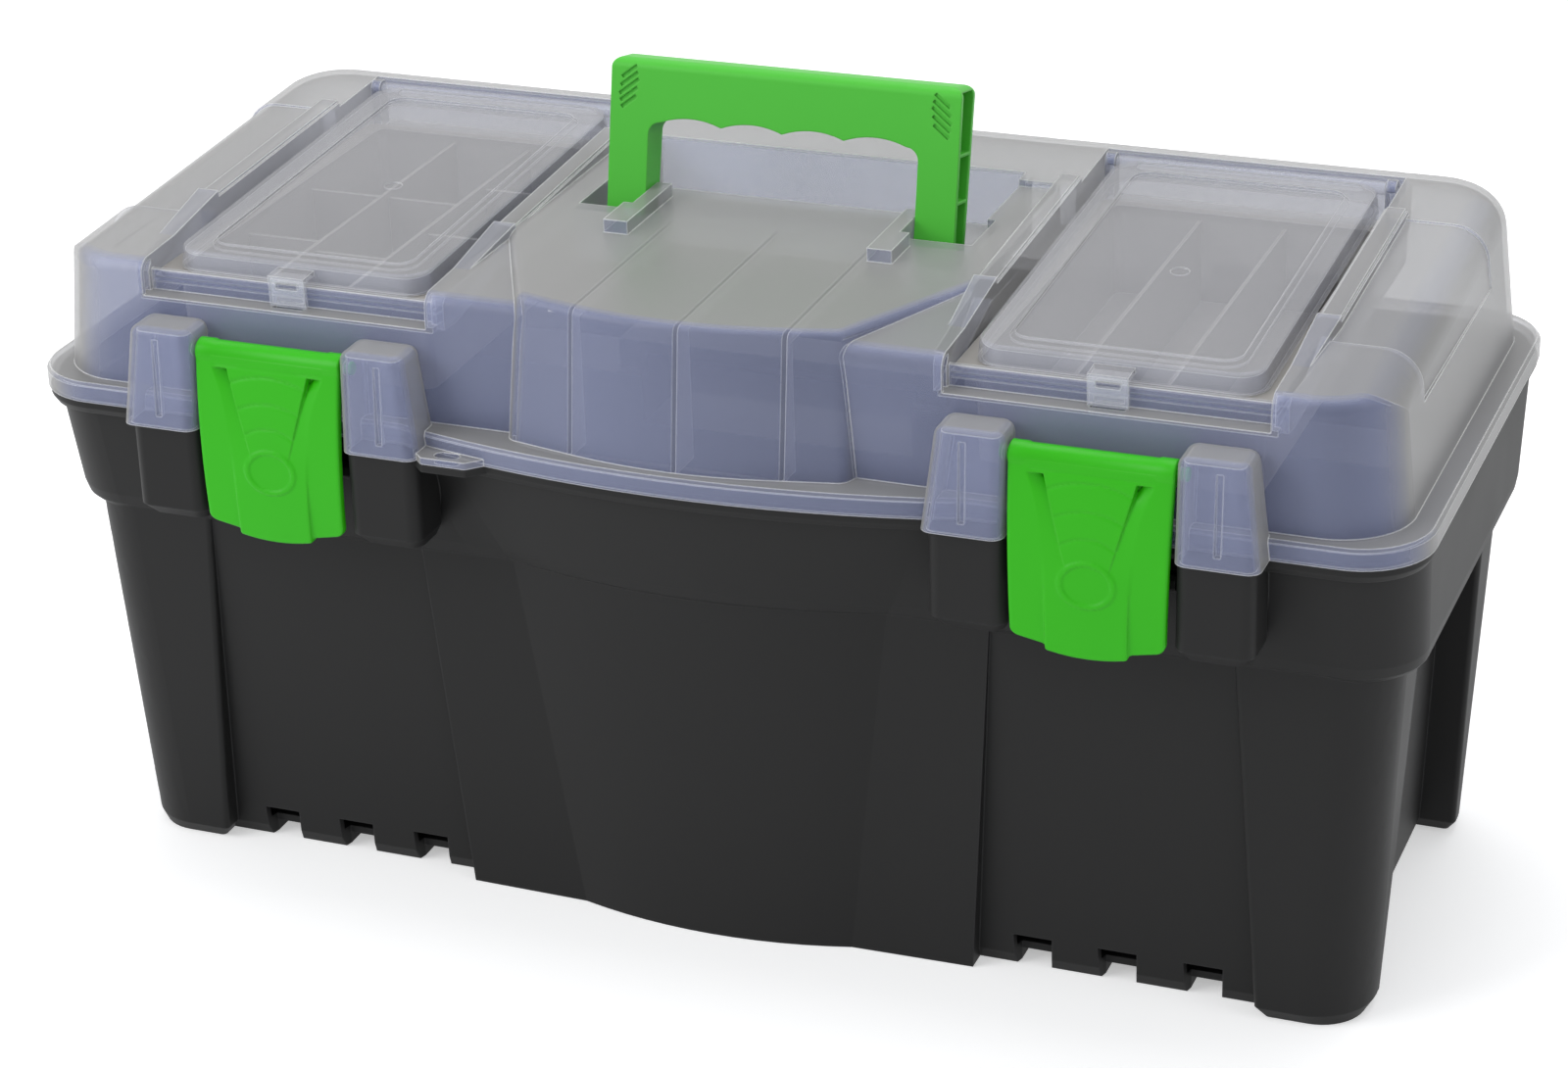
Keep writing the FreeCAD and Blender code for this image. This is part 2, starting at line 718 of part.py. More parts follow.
def ear_shells(side):
    """Hollow ears beside a latch, open below, with bores for the latch's pins."""
    middle = side * latch_centre
    top = flange_top + ear_top
    back = dome_offset - dome_depth / 2 + lid_wall / 2
    shells = []
    for hand in (-1, 1):
        def corners(inset, taper):
            near = middle + hand * (window_half + inset)
            away = middle + hand * (ear_outer_half - taper - inset)
            x0, x1 = sorted((near, away))
            return rectangle(x0, x1, ear_front + inset + taper / 2, back, ear_corner - inset)
        outer = loft([outline(corners(0, 0), flange_base), outline(corners(0, ear_taper), top)])
        front_edges = top_edges(outer, top, lambda point: point.y < back - 1.0)
        outer = outer.makeFillet(ear_round, front_edges)
        inner = loft([outline(corners(lid_wall, 0), flange_base - 1),
                      outline(corners(lid_wall, ear_taper), top - lid_wall)])
        rib_x = middle + hand * (window_half + ear_outer_half) / 2
        rib = box(rib_x - ear_rib / 2, rib_x + ear_rib / 2, ear_front + 1, ear_front + 5,
                  flange_base + 4, top - 5)
        shells.append(joined([outer.cut(inner), rib.common(outer)]))
    return shells


def latch_bore(radius, side, reach):
    middle = side * latch_centre
    return rod(radius, Vector(middle - reach, latch_pivot_y, latch_pivot_z),
               Vector(middle + reach, latch_pivot_y, latch_pivot_z))


def pocket_parts(side):
    """Frame round an organizer, and what is cut out of the roof for it."""
    middle = side * latch_centre
    wall = lid_wall
    half = pocket_half
    high = roof_rear + 10
    frame = box(middle - half - wall, middle + half + wall, pocket_front, pocket_rear + wall,
                shelf_z - shelf_wall, shelf_z + 1)
    under = shelf_z - shelf_wall
    sides = extrude_x([(pocket_front, under), (pocket_rear + wall, under),
                       (pocket_rear + wall, roof_at(pocket_rear) - 1),
                       (pocket_front, roof_at(pocket_front) - 1)],
                      middle - half - wall, middle + half + wall)
    back = box(middle - half - wall, middle + half + wall, pocket_rear - 1, pocket_rear + wall,
               under, roof_at(pocket_rear) - 1)
    sill = box(middle - half - wall, middle + half + wall, sill_root, pocket_front + wall,
               sill_z - wall, sill_z)
    low_wall = box(middle - half - 1, middle + half + 1, pocket_front, pocket_front + wall,
                   sill_z - wall, sill_z + low_wall_height)
    hollow = box(middle - half, middle + half, pocket_front + wall, pocket_rear, shelf_z, high)
    front = box(middle - half, middle + half, -far, pocket_front + wall + 0.01, sill_z, high)
    opening = box(middle - half + shelf_width, middle + half - shelf_width, bin_front, bin_rear,
                  shelf_z - shelf_wall - 1, high)
    slot = box(middle - clip_width / 2 + 1, middle + clip_width / 2 - 1, clip_front - 1.0,
               clip_front + clip_wall + 1.0, sill_z - wall - 1, sill_z + 1)
    return [frame, sides, back, sill], [hollow, front, opening, slot], low_wall


def ridges(side):
    """Ribs that stand along both sides of an organizer: high in front, low behind."""
    parts = []
    for hand in (-1, 1):
        inner = side * latch_centre + hand * pocket_half
        tip = inner + hand * ridge_wall
        wide = inner + hand * ridge_rear_width
        base = sill_z - 2.0
        top_rear = roof_at(plateau_front) + ridge_height
        tip_top = sill_z + ridge_tip_height
        profile = [(ridge_front, base), (ridge_front, tip_top - 3.0), (ridge_front + 3.0, tip_top + 1.0),
                   (plateau_front, top_rear), (plateau_front, roof_front - lid_wall),
                   (ridge_front + 10.0, base)]
        x0, x1 = sorted((inner, wide))
        high = extrude_x(profile, x0, x1)
        slant = [(inner, ridge_front - 1, 0), (tip, ridge_front - 1, 0), (wide, plateau_front, 0),
                 (inner, plateau_front, 0)]
        plan = Part.Face(outline(slant, base)).extrude(Vector(0, 0, far))
        high = high.common(plan)

        def low_ridge(rise):
            return [(plateau_front, shelf_z - 2), (low_ridge_rear, shelf_z - 2),
                    (low_ridge_rear, roof_at(low_ridge_rear) + rise),
                    (plateau_front, roof_at(plateau_front) + rise)]
        low = extrude_x(low_ridge(low_ridge_height - 1.0), x0, x1)
        cap = extrude_x(low_ridge(low_ridge_height), x0 + 1.0, x1 - 1.0)
        parts += [high, low, cap]
    return parts


def cover_pivot():
    rise = (cover_rear - cover_front) * math.tan(math.radians(cover_tilt))
    return Vector(0, cover_rear + cover_barrel - cover_barrel_lap,
                  rim_z + cover_lift + rise + cover_height - cover_barrel)


def cover_lugs(side):
    """Lugs on the organizer shelf that carry the cover's pegs."""
    pivot = cover_pivot()
    lugs = []
    for hand in (-1, 1):
        near = side * latch_centre + hand * (cover_half + lug_gap)
        away = near + hand * lug_wall
        x0, x1 = sorted((near, away))
        post = box(x0, x1, pivot.y - lug_radius, pivot.y + lug_radius, shelf_z - 1, pivot.z)
        head = rod(lug_radius, Vector(x0, pivot.y, pivot.z), Vector(x1, pivot.y, pivot.z))
        lugs.append(joined([post, head]))
    return lugs


def cover_bore(radius, side, reach):
    pivot = cover_pivot()
    middle = side * latch_centre
    return rod(radius, Vector(middle - reach, pivot.y, pivot.z), Vector(middle + reach, pivot.y, pivot.z))


def handle_recess(inset, top, rear_top):
    """Well for the folded handle, with a slot for each leg; inset below zero gives its walls."""
    inner = handle_half - handle_leg - side_clearance
    floor = plateau - well_depth + inset
    half = well_half - inset
    well = box(-half, half, well_front + inset, well_rear - inset, floor, top)
    rear = box(-half, half, well_step, well_rear - inset, floor, rear_top)
    slot = box(inner + inset, leg_slot_half - inset, leg_slot_front + inset, well_front + lid_wall,
               floor, top)
    return joined([well, rear] + both_sides(slot))


def handle_blocks():
    """Pivot blocks beside the legs; their fronts stand up from the roof."""
    inner = handle_half - handle_leg - side_clearance
    low_x = inner - block_width + 3.7
    low = handle_pivot_z - handle_pin - 3.5
    top = plateau + block_height
    front = box(low_x, low_x + block_width, block_front, block_front + block_step, plateau - 2, top)
    beside = box(low_x, inner, block_front + block_step - 1, handle_pivot_y + handle_pin + 4, low, top)
    under = box(low_x, inner, handle_pivot_y - handle_pin - 4, handle_pivot_y + handle_pin + 4, low, plateau)
    return both_sides(joined([front, beside.common(box(0, far, -far, far, plateau - 2, far)), under]))


def bulge_ribs():
    """Stiffening ribs that show through the bulge's front and roof."""
    ribs = []
    form = plateau_form(lid_wall * 0.5)
    for x in bulge_rib_places:
        x0 = x - bulge_rib / 2
        x1 = x + bulge_rib / 2
        front = box(x0, x1, -far, -bulge_front_top + 2.0, flange_top - 2, plateau - 2)
        roof = box(x0, x1, -bulge_front_top, leg_slot_front - lid_wall, plateau - 7, plateau)
        ribs += [front.common(form), roof.common(form)]
    return ribs


def make_lid():
    skirt = loft([flange_outline(0, flange_base), flange_outline(0, flange_top - 1.5),
                  flange_outline(1.2, flange_top)])
    skirt_inner = loft([flange_outline(lid_wall, flange_base - 1),
                        flange_outline(lid_wall, flange_top - lid_wall)])
    shell = joined([lid_form(0), skirt]).cut([lid_form(lid_wall), skirt_inner] + end_bands())
    added = []
    cuts = []
    late = []
    for side in (-1, 1):
        frames, hollows, low_wall = pocket_parts(side)
        added += frames
        cuts += hollows
        late += [low_wall] + ridges(side) + cover_lugs(side)
        late += [ear.cut(skirt_inner) for ear in ear_shells(side)]
        middle = side * latch_centre
        cuts.append(box(middle - window_half, middle + window_half, -far, sill_root - 1, flange_top + 1.0,
                        flange_top + ear_top - 0.5))
    added.append(handle_recess(-lid_wall, plateau - 0.5, roof_at(well_step) - 0.5))
    added += handle_blocks()
    cuts.append(handle_recess(0, far, far))
    shell = joined([shell] + added).cut(cuts)
    plate, slot = eye_plate(flange_base)
    late += bulge_ribs()
    late.append(plate.cut(skirt_inner))
    for side in (-1, 1):
        middle = side * latch_centre
        x0 = middle - hinge_lid_width / 2
        x1 = middle + hinge_lid_width / 2
        late.append(rod(hinge_knuckle, Vector(x0, hinge_y, hinge_z), Vector(x1, hinge_y, hinge_z)))
        late.append(box(x0, x1, half_depth - lid_wall / 2, hinge_y, flange_base + 0.5, flange_top - 0.5))
    shell = joined([shell] + late)
    inner = handle_half - handle_leg - side_clearance
    bores = [slot]
    for side in (-1, 1):
        bores.append(hinge_bore(hinge_pin + pin_clearance, side))
        bores.append(latch_bore(latch_pin + pin_clearance, side, window_half + lid_wall + 1.0))
        bores.append(cover_bore(cover_peg + peg_clearance, side, cover_half + lug_gap + lug_wall + 1))
        pin_end = inner - pin_length - 0.6
        bores.append(rod(handle_pin + pin_clearance, Vector(side * pin_end, handle_pivot_y, handle_pivot_z),
                         Vector(side * (inner + 1), handle_pivot_y, handle_pivot_z)))
    return shell.cut(bores)


# Organizers and their covers

def bin_floor():
    return rim_z - bin_depth


def make_bin(side):
    middle = side * latch_centre
    half = pocket_half - shelf_width - bin_clearance
    low = bin_floor()
    y0 = bin_front + bin_clearance
    y1 = bin_rear - bin_clearance
    draft = 1.0
    narrow = half - draft
    body = loft([outline(rectangle(middle - narrow, middle + narrow, y0 + draft, y1 - draft, 5.0), low),
                 outline(rectangle(middle - half, middle + half, y0, y1, 5.0), rim_z)])
    rim_half = pocket_half - bin_clearance
    edge = rectangle(middle - rim_half, middle + rim_half, pocket_front + lid_wall + bin_clearance,
                     bin_rear + rim_lap, 5.0)
    rim = Part.Face(outline(edge, shelf_z)).extrude(Vector(0, 0, bin_rim))
    inner_half = half - bin_wall
    y0 += bin_wall
    y1 -= bin_wall
    narrow = inner_half - draft
    foot = rectangle(middle - narrow, middle + narrow, y0 + draft, y1 - draft, 4.0)
    mouth = rectangle(middle - inner_half, middle + inner_half, y0, y1, 4.0)
    hollow = loft([outline(foot, low + bin_wall), outline(mouth, rim_z + 1)])
    return joined([body, rim]).cut(hollow)


def bin_inside():
    """Half width, front and rear of an organizer's floor."""
    draft = 1.0
    half = pocket_half - shelf_width - bin_clearance - bin_wall - draft
    return half, bin_front + bin_clearance + bin_wall + draft, bin_rear - bin_clearance - bin_wall - draft


def divider_levels():
    return bin_floor() + bin_wall, rim_z - divider_drop


def make_long_divider(side, place):
    half, y0, y1 = bin_inside()
    x = side * latch_centre + place * half / 3
    low, top = divider_levels()
    return box(x - divider_wall / 2, x + divider_wall / 2, y0 + divider_gap, y1 - divider_gap, low, top)


def make_cross_divider(side, lane, share):
    half, y0, y1 = bin_inside()
    lane_width = 2 * half / 3
    middle = side * latch_centre + lane * lane_width
    clear = divider_wall / 2 + divider_gap
    outer_clear = divider_gap
    x0 = middle - lane_width / 2 + (outer_clear if lane < 0 else clear)
    x1 = middle + lane_width / 2 - (outer_clear if lane > 0 else clear)
    y = y0 + (y1 - y0) * share
    low, top = divider_levels()
    return box(x0, x1, y - divider_wall / 2, y + divider_wall / 2, low, top - 2.0)


def make_cover(side):
    """Clear cover: raised border, sunk window, barrel and pegs behind, snap clip in front."""
    length = cover_rear - cover_front
    taper = 0.8
    foot = rectangle(-cover_half, cover_half, 0, length, cover_corner)
    roof = rectangle(-cover_half + taper, cover_half - taper, taper, length - taper, cover_corner)
    outer = loft([outline(foot, 0), outline(roof, cover_height)])
    outer = outer.makeFillet(cover_round, top_edges(outer, cover_height, lambda point: True))
    pane_half = cover_half - cover_border
    sunk = rectangle(-pane_half, pane_half, cover_border, length - cover_border, 7.0)
    window = Part.Face(outline(sunk, cover_height - cover_inset)).extrude(Vector(0, 0, cover_inset + 1))
    inside = rectangle(-cover_half + cover_wall, cover_half - cover_wall, cover_wall, length - cover_wall,
                       cover_corner - cover_wall)
    cavity = Part.Face(outline(inside, -1)).extrude(Vector(0, 0, cover_height - cover_wall + 1))
    wall = cover_wall
    pane = rectangle(-cover_half + cover_border - wall, cover_half - cover_border + wall, cover_border - wall,
                     length - cover_border + wall, 7.0 + wall)
    pane_block = Part.Face(outline(pane, cover_height - cover_inset - cover_wall)).extrude(Vector(0, 0, far))
    gate = Part.makeCylinder(3.6, 5, Vector(0, length * 0.46, cover_height - cover_inset - 0.5))
    shell = outer.cut([window, cavity.cut(pane_block), gate])
    reach = cover_front - clip_front
    arm_z = cover_height - cover_round - clip_wall
    half = clip_width / 2
    arm = box(-half, half, -reach, cover_wall, arm_z - 0.5, arm_z + clip_wall - 0.5)
    tip = sill_z + clip_gap - rim_z - cover_lift
    drop = box(-half, half, -reach, -reach + clip_wall, tip, arm_z + clip_wall - 0.5)
    grip_window = box(-half + 3, half - 3, -reach - 1, -reach + clip_wall + 1, arm_z - 3.5, arm_z - 1.0)
    nib = box(-half + 2, half - 2, -reach + clip_wall, -reach + clip_wall + clip_nib, tip + 1.0, tip + 3.0)
    cover = joined([shell, arm, drop, nib]).cut(grip_window)
    cover.rotate(Vector(0, 0, 0), Vector(1, 0, 0), cover_tilt)
    cover.translate(Vector(side * latch_centre, cover_front, rim_z + cover_lift))
    pivot = cover_pivot()
    barrel = cover_bore(cover_barrel, side, cover_half)
    pegs = cover_bore(cover_peg, side, cover_half + lug_gap + lug_wall - 0.5)
    return joined([cover, barrel, pegs])


# Handle

def handle_side_profile(inset, low, top):
    """(y, z) outline of the handle's depth, pivot at the origin, between two heights."""
    front = inset - handle_front
    rear = handle_depth_low - handle_front - inset
    widening = (handle_depth_top - handle_depth_low) / handle_reach
    return [(front, low), (rear + widening * low, low), (rear + widening * top, top), (front, top)]


def finger_opening():
    """Space under the grip, with scallops for the fingers along its top."""
    inner = handle_half - handle_leg
    low = -2 * handle_front - handle_depth_low
    top = handle_reach - grip_height
    spring = top - scallop_depth
    width = (2 * inner - 2 * grip_round) / scallop_count
    start = -inner + grip_round
    edges = [Part.LineSegment(Vector(-inner, 0, low), Vector(-inner, 0, spring - grip_round))]
    slant = grip_round * (1 - math.sqrt(0.5))
    edges.append(Part.Arc(Vector(-inner, 0, spring - grip_round), Vector(-inner + slant, 0, spring - slant),
                          Vector(start, 0, spring)))
    for i in range(scallop_count):
        x0 = start + i * width
        edges.append(Part.Arc(Vector(x0, 0, spring), Vector(x0 + width / 2, 0, top),
                              Vector(x0 + width, 0, spring)))
    edges.append(Part.Arc(Vector(-start, 0, spring), Vector(inner - slant, 0, spring - slant),
                          Vector(inner, 0, spring - grip_round)))
    edges.append(Part.LineSegment(Vector(inner, 0, spring - grip_round), Vector(inner, 0, low)))
    edges.append(Part.LineSegment(Vector(inner, 0, low), Vector(-inner, 0, low)))
    wire = Part.Wire([edge.toShape() for edge in edges])
    return extrude_y(wire, -far, far)


def grip_grooves(side):
    """Short slanted grooves on the upper corner of the handle's front."""
    cuts = []
    for i in range(groove_count):
        length = groove_length - abs(i - (groove_count - 1) / 2) * groove_shorten
        bar = box(-length / 2, length / 2, -1, groove_depth, -groove_width / 2, groove_width / 2)
        bar.rotate(Vector(0, 0, 0), Vector(0, 1, 0), side * groove_slant)
        bar.translate(Vector(side * groove_centre, -handle_front,
                             handle_reach - groove_drop - (i - (groove_count - 1) / 2) * groove_pitch))
        cuts.append(bar)
    return cuts


def make_handle():
    base = -handle_front - 2.0
    block = extrude_x(handle_side_profile(0, 0, handle_reach), -handle_half, handle_half)
    rounded = [edge for edge in block.Edges
               if max(abs(edge.BoundBox.ZMin - handle_reach), abs(edge.BoundBox.ZMax - handle_reach)) < 0.01]
    block = block.makeFillet(handle_round, rounded)
    depth = handle_depth_low
    foot_middle = depth / 2 - handle_front
    toe_front = Vector(-handle_half, -handle_front, 0)
    toe_rear = Vector(-handle_half, depth - handle_front, 0)
    toe_arc = Part.Arc(toe_front, Vector(-handle_half, foot_middle, base), toe_rear)
    toe_line = Part.LineSegment(toe_rear, toe_front)
    toe_face = Part.Face(Part.Wire([toe_arc.toShape(), toe_line.toShape()]))
    toe = toe_face.extrude(Vector(2 * handle_half, 0, 0))
    wall = handle_wall
    leg_in = handle_half - handle_leg + wall
    top = handle_reach - wall
    grip_low = handle_reach - grip_height + wall
    cuts = [finger_opening()]
    for side in (-1, 1):
        x0, x1 = sorted((side * leg_in, side * (handle_half + 1)))
        channel = extrude_x(handle_side_profile(wall, 0.0, top), x0, x1)
        ribs = [box(-far, far, -far, far, z - rib_wall / 2, z + rib_wall / 2) for z in leg_ribs]
        cuts.append(channel.cut(ribs))
        x0, x1 = sorted((side * wall, side * (handle_half + 1)))
        cuts.append(extrude_x(handle_side_profile(wall, grip_low, top), x0, x1))
        cuts += grip_grooves(side)
    handle = joined([block, toe]).cut(cuts)
    inner = handle_half - handle_leg
    pin_end = inner - side_clearance - pin_length
    pins = [rod(handle_pin, Vector(side * pin_end, 0, 0), Vector(side * (inner + 1), 0, 0))
            for side in (-1, 1)]
    handle = joined([handle] + pins)
    handle.rotate(Vector(0, 0, 0), Vector(1, 0, 0), -handle_lean)
    handle.translate(Vector(0, handle_pivot_y, handle_pivot_z))
    return handle


# Latches

def latch_sheet(front, thickness, low, half):
    """Curved sheet behind the latch's face; front is how far its face lies behind the outer face."""
    bottom_y = -latch_barrel - latch_bulge + 1.5
    middle_y = -latch_barrel - latch_bulge + 0.6

    def arc(shift):
        return [Vector(-half, -latch_barrel + shift, 0), Vector(-half, middle_y + shift, low / 2),
                Vector(-half, bottom_y + shift, low)]
    outer = arc(front)
    inner = arc(front + thickness)
    wire = Part.Wire([Part.Arc(*outer).toShape(), Part.LineSegment(outer[2], inner[2]).toShape(),
                      Part.Arc(*inner).toShape(), Part.LineSegment(inner[0], outer[0]).toShape()])
    return Part.Face(wire).extrude(Vector(2 * half, 0, 0))


def latch_face(inset):
    """Outline of the latch seen from the front: tapered sides and a rounded lobe below."""
    top_half = latch_width_top / 2 - inset
    low_half = latch_width_low / 2 - inset
    side_low = -latch_length + latch_skirt_short + inset
    lobe = latch_lobe_half - inset
    low = -latch_length + inset
    points = [(-top_half, 1.0, 0), (top_half, 1.0, 0), (low_half, side_low, 3.0), (lobe, side_low - 1.0, 0),
              (lobe - 1.5, low + 1.5, 1.5), (lobe / 2, low, 8.0), (-lobe / 2, low, 8.0),
              (1.5 - lobe, low + 1.5, 1.5), (-lobe, side_low - 1.0, 0), (-low_half, side_low, 3.0)]
    wire = outline(points, 0)
    wire.rotate(Vector(0, 0, 0), Vector(1, 0, 0), 90)
    return extrude_y(wire, -far, far)


def make_latch(side):
    low = -latch_length - 1.0
    half = latch_width_top / 2
    panel = latch_sheet(0, latch_wall, low, half).common(latch_face(0))
    skirt = latch_sheet(latch_wall - 0.5, latch_skirt_depth, low, half)
    skirt = skirt.common(latch_face(0)).cut(latch_face(latch_side_wall))
    skirt = skirt.cut(box(-far, far, -far, far, low - 1, -latch_length + latch_skirt_short + 2.0))
    barrel = rod(latch_barrel, Vector(-half, 0, 0), Vector(half, 0, 0))
    pins = rod(latch_pin, Vector(-half - latch_pin_length, 0, 0), Vector(half + latch_pin_length, 0, 0))
    hook_top = tub_height - catch_drop - catch_height - hook_gap - latch_pivot_z
    tip = catch_front - hook_gap - latch_pivot_y
    hook = extrude_x([(tip, hook_top), (tip, hook_top - 2.0), (tip - 3.0, hook_top - hook_height),
                      (-latch_barrel - latch_bulge + 2.0, hook_top - hook_height),
                      (-latch_barrel - latch_bulge + 2.0, hook_top)], -latch_hook_half, latch_hook_half)
    latch = joined([panel, skirt, barrel, pins, hook])
    latch.translate(Vector(side * latch_centre, latch_pivot_y, latch_pivot_z))
    return latch


# Lift-out tray

def make_tray():
    """Open tray that rests on the step inside the collar, with a carry bar along its middle."""
    low = collar_base + tub_wall + tray_seat
    sink = collar_draft + collar_overhang + collar_round * 0.3 + tub_wall + rim_lip_wall / 2
    half = half_length - sink - tray_clearance
    front = half_depth - collar_front_overhang - collar_front_draft - collar_round * 0.3 - tub_wall
    front = front - rim_lip_wall / 2 - tray_clearance
    draft = 1.0
    top = low + tray_height
    wide = half + draft
    deep = front + draft
    body = loft([outline(rectangle(-half, half, -front, front, tray_corner), low),
                 outline(rectangle(-wide, wide, -deep, deep, tray_corner), top)])
    wall = tray_wall
    spine = tray_spine / 2
    room = tray_corner / 2
    hollow = loft([outline(rectangle(wall - half, half - wall, spine, front - wall, room), low + wall),
                   outline(rectangle(wall - wide, wide - wall, spine, deep - wall, room), top)])
    hollows = [hollow, hollow.mirror(Vector(0, 0, 0), Vector(0, 1, 0))]
    grip = tray_grip_half - tray_post / 2
    notch_floor = top - tray_notch_depth
    under = box(-half + room, half - room, wall - spine, spine - wall, low, top - wall)
    under = under.cut(box(-grip - wall, grip + wall, -spine, spine, notch_floor - wall, top))
    notch = box(-grip, grip, -spine, spine, notch_floor, top)
    bar_half = spine - 3 * wall
    grip_top = top + tray_grip_height
    reach = grip + tray_post
    loop = box(-reach, reach, -bar_half, bar_half, top - wall, grip_top)
    loop = loop.cut(box(-grip, grip, -spine, spine, low, grip_top - tray_bar))
    return joined([body.cut(hollows + [under, notch]), loop])


os.makedirs("parts", exist_ok=True)
save("tub", make_tub())
save("lid_shell", make_lid())
save("handle", make_handle())
save("hinge_pins", make_hinge_pins())
save("tray", make_tray())
for side, name in ((-1, "left"), (1, "right")):
    save("latch_" + name, make_latch(side))
    save("organizer_bin_" + name, make_bin(side))
    save("organizer_cover_" + name, make_cover(side))
    for i, place in enumerate((-1, 1)):
        save("long_divider_" + name + "_" + str(i + 1), make_long_divider(side, place))
number = 0
for lane in (-1, 0, 1):
    for share in cross_places[lane + 1]:
        number += 1
        save("cross_divider_" + str(number), make_cross_divider(-1, lane, share))
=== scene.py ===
import math

import bmesh
import bpy
from mathutils import Matrix, Vector


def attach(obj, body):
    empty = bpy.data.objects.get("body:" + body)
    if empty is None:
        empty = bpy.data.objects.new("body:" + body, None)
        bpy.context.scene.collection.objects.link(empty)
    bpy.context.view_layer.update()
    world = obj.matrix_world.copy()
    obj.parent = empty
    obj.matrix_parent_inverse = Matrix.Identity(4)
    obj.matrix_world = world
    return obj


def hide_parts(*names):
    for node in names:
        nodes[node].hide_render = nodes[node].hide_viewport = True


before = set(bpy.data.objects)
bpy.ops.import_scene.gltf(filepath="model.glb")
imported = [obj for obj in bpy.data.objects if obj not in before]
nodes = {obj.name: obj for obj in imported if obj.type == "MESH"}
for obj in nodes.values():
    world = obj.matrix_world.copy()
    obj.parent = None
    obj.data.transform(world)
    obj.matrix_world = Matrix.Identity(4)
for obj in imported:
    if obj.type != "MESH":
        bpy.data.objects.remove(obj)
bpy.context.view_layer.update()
scene = bpy.context.scene

# Camera and room. The box stands on a pale floor in soft light from large panels, and is seen
# from the right of its front and from above, with a long lens. The floor looks white to the camera,
# but lights the box as a pale grey one would, and it keeps the shadow.
camera_place = (0.514611, -1.303513, 0.774600)
camera_right = Vector((0.93306873, 0.35872578, -0.02643039))
camera_up = Vector((-0.12824446, 0.40042152, 0.90731249))
camera_back = Vector((0.33605968, -0.84319536, 0.41962540))
camera_data = bpy.data.cameras.new("camera")
camera_data.sensor_width = 36.0
camera_data.lens = 88.91
camera = bpy.data.objects.new("camera", camera_data)
turn = Matrix((camera_right, camera_up, camera_back)).transposed()
camera.matrix_world = Matrix.Translation(camera_place) @ turn.to_4x4()
scene.collection.objects.link(camera)
scene.camera = camera
scene.view_settings.view_transform = "Standard"

WHITE = (1.0, 1.0, 1.0)


def opaque(colour):
    """The same colour with the fourth value that a colour socket wants."""
    return (*colour, 1)


def new_material(name):
    """An empty node material with its Principled shader and output."""
    material = bpy.data.materials.new(name)
    material.use_nodes = True
    tree = material.node_tree
    tree.nodes.clear()
    shader = tree.nodes.new("ShaderNodeBsdfPrincipled")
    output = tree.nodes.new("ShaderNodeOutputMaterial")
    tree.links.new(shader.outputs["BSDF"], output.inputs["Surface"])
    return material, tree, shader


def add_node(tree, kind, **settings):
    """Adds a node; a setting named like an input sets that input, another sets the node itself."""
    node = tree.nodes.new(kind)
    for name, value in settings.items():
        label = name.replace("_", " ").title()
        if label in node.inputs:
            node.inputs[label].default_value = value
        else:
            setattr(node, name, value)
    return node


def seen_directly(tree):
    """1 for what the camera, a reflection or the clear plastic shows, 0 for light that falls on things."""
    path = tree.nodes.new("ShaderNodeLightPath")
    total = path.outputs["Is Camera Ray"]
    for ray in ("Is Glossy Ray", "Is Transmission Ray"):
        larger = add_node(tree, "ShaderNodeMath", operation="MAXIMUM")
        tree.links.new(total, larger.inputs[0])
        tree.links.new(path.outputs[ray], larger.inputs[1])
        total = larger.outputs[0]
    return total


room_grey = (0.55, 0.56, 0.58)
world = bpy.data.worlds.new("studio")
world.use_nodes = True
scene.world = world
sky = world.node_tree
background = sky.nodes["Background"]
sky_colour = add_node(sky, "ShaderNodeMix", data_type="RGBA")
sky_colour.inputs["A"].default_value = opaque(room_grey)
sky_colour.inputs["B"].default_value = opaque(WHITE)
sky.links.new(seen_directly(sky), sky_colour.inputs["Factor"])
sky.links.new(sky_colour.outputs["Result"], background.inputs["Color"])

floor_edge = 8.0
floor_height = -0.0002
floor_grey = (0.86, 0.86, 0.86)
floor_glow = 0.42
corners = ((-1, -1), (1, -1), (1, 1), (-1, 1))
floor_mesh = bpy.data.meshes.new("floor")
floor_mesh.from_pydata([(x * floor_edge, y * floor_edge, floor_height) for x, y in corners],
                       [], [(0, 1, 2, 3)])
floor = bpy.data.objects.new("floor", floor_mesh)
scene.collection.objects.link(floor)
floor_paint, tree, shader = new_material("white_floor")
shader.inputs["Base Color"].default_value = opaque(floor_grey)
shader.inputs["Roughness"].default_value = 0.9
shader.inputs["Emission Color"].default_value = opaque(WHITE)
glow = add_node(tree, "ShaderNodeMath", operation="MULTIPLY")
glow.inputs[1].default_value = floor_glow
tree.links.new(seen_directly(tree), glow.inputs[0])
tree.links.new(glow.outputs[0], shader.inputs["Emission Strength"])
floor_mesh.materials.append(floor_paint)


def soft_panel(name, place, size, power):
    """A square studio panel that shines on the middle of the box."""
    box_middle = Vector((0, 0, 0.12))
    data = bpy.data.lights.new(name, "AREA")
    data.shape = "SQUARE"
    data.size = size
    data.energy = power
    lamp = bpy.data.objects.new(name, data)
    lamp.location = place
    lamp.rotation_euler = (box_middle - Vector(place)).to_track_quat("-Z", "Y").to_euler()
    scene.collection.objects.link(lamp)


soft_panel("panel_front_left", (-1.9, -1.7, 1.7), size=1.6, power=36)
soft_panel("panel_right", (2.2, -0.6, 1.5), size=1.2, power=6)
soft_panel("panel_above", (0.0, 0.6, 2.4), size=1.8, power=24)

